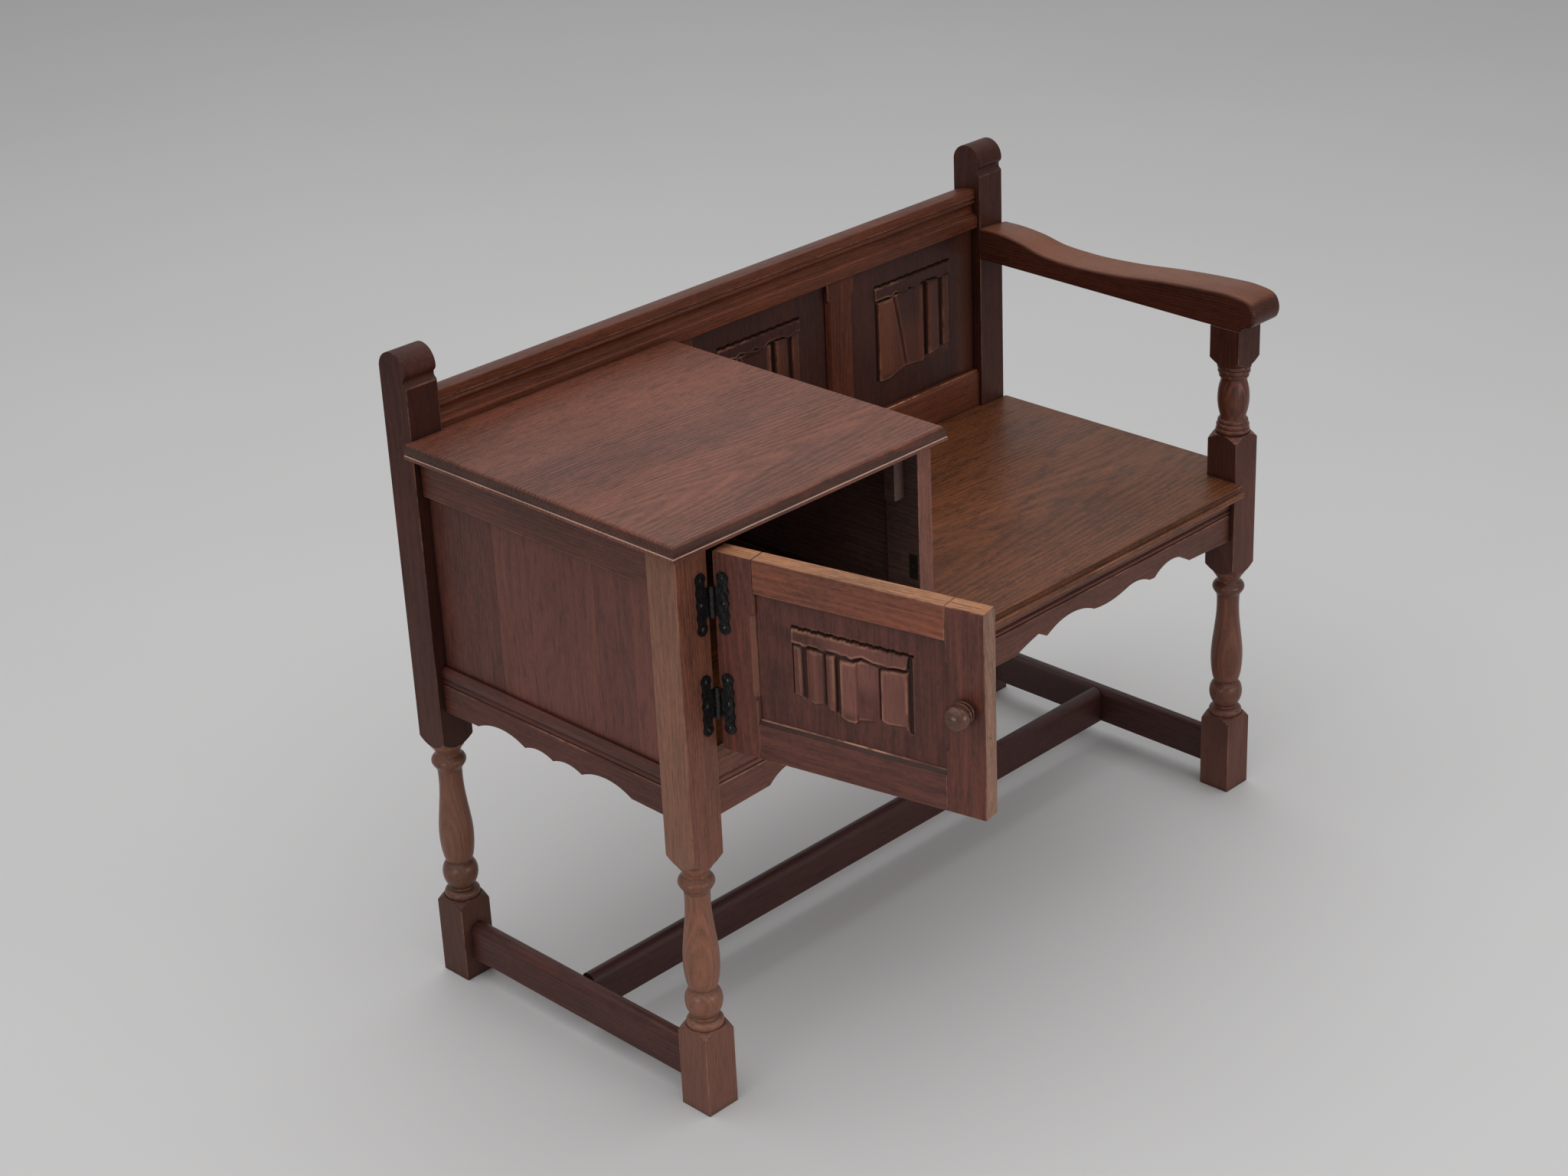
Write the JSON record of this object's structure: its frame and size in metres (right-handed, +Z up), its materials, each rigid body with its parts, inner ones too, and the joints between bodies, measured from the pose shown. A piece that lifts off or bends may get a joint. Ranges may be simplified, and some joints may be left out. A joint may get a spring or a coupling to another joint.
{
  "type": "telephone bench",
  "caption": "Oak bench with an arm rest at one end, a low cupboard with a hinged door and flat top at the other, turned legs and carved back panels.",
  "frame": {"origin": "middle of the floor rectangle under the bench with its door standing open as in the picture", "axes": "+X to the sitter's left along the seat, from the cupboard to the arm rest; -Y to the front; +Z up"},
  "size_m": [0.9456, 0.7214, 0.7447],
  "materials": {
    "stained_oak": "dark stained oak under worn satin varnish",
    "turned_oak": "turned oak, stained, rubbed lighter",
    "inner_oak": "dark stained wood of the hidden parts",
    "black_iron": "hammered black iron",
    "screw_steel": "dull steel",
    "brass": "dull brass"
  },
  "bodies": {
    "frame": {"rear_left_post": "stained_oak", "rear_right_post": "stained_oak", "front_left_leg": "stained_oak", "front_right_leg": "stained_oak", "left_stretcher": "stained_oak", "right_stretcher": "stained_oak", "centre_stretcher": "stained_oak", "front_apron": "stained_oak", "left_apron": "stained_oak", "right_apron": "stained_oak", "rear_seat_rail": "inner_oak", "seat_board": "stained_oak", "seat_corner_blocks": "inner_oak", "seat_screws": "screw_steel", "back_crest_rail": "stained_oak", "back_bottom_rail": "stained_oak", "back_muntin_left": "stained_oak", "back_muntin_right": "stained_oak", "back_panel_plain": "inner_oak", "back_panel_carved_left": "stained_oak", "back_panel_carved_right": "stained_oak", "cabinet_top": "stained_oak", "cabinet_top_dowels": "inner_oak", "cabinet_left_top_rail": "stained_oak", "cabinet_left_panel": "stained_oak", "partition_front_stile": "stained_oak", "partition_rear_stile": "inner_oak", "partition_top_rail": "inner_oak", "partition_bottom_rail": "inner_oak", "partition_panel": "inner_oak", "arm_rest": "stained_oak", "arm_dowels": "inner_oak", "door_stop": "inner_oak", "catch_strike": "brass", "lower_hinge_leg_leaf": "black_iron", "upper_hinge_leg_leaf": "black_iron", "lower_hinge_pin": "black_iron", "upper_hinge_pin": "black_iron", "hinge_nails_leg": "black_iron"},
    "door": {"door_hinge_stile": "stained_oak", "door_lock_stile": "stained_oak", "door_top_rail": "stained_oak", "door_bottom_rail": "stained_oak", "door_panel": "stained_oak", "door_knob": "turned_oak", "knob_screw": "screw_steel", "catch_ball": "brass", "lower_hinge_door_leaf": "black_iron", "upper_hinge_door_leaf": "black_iron", "hinge_nails_door": "black_iron"}
  },
  "joints": [
    {"name": "door_hinge", "type": "hinge", "parent": "frame", "child": "door", "pos_m": [-0.41975, -0.07154, 0.522], "axis": [0, 0, 1], "range_deg": [-85, 78.5]}
  ]
}
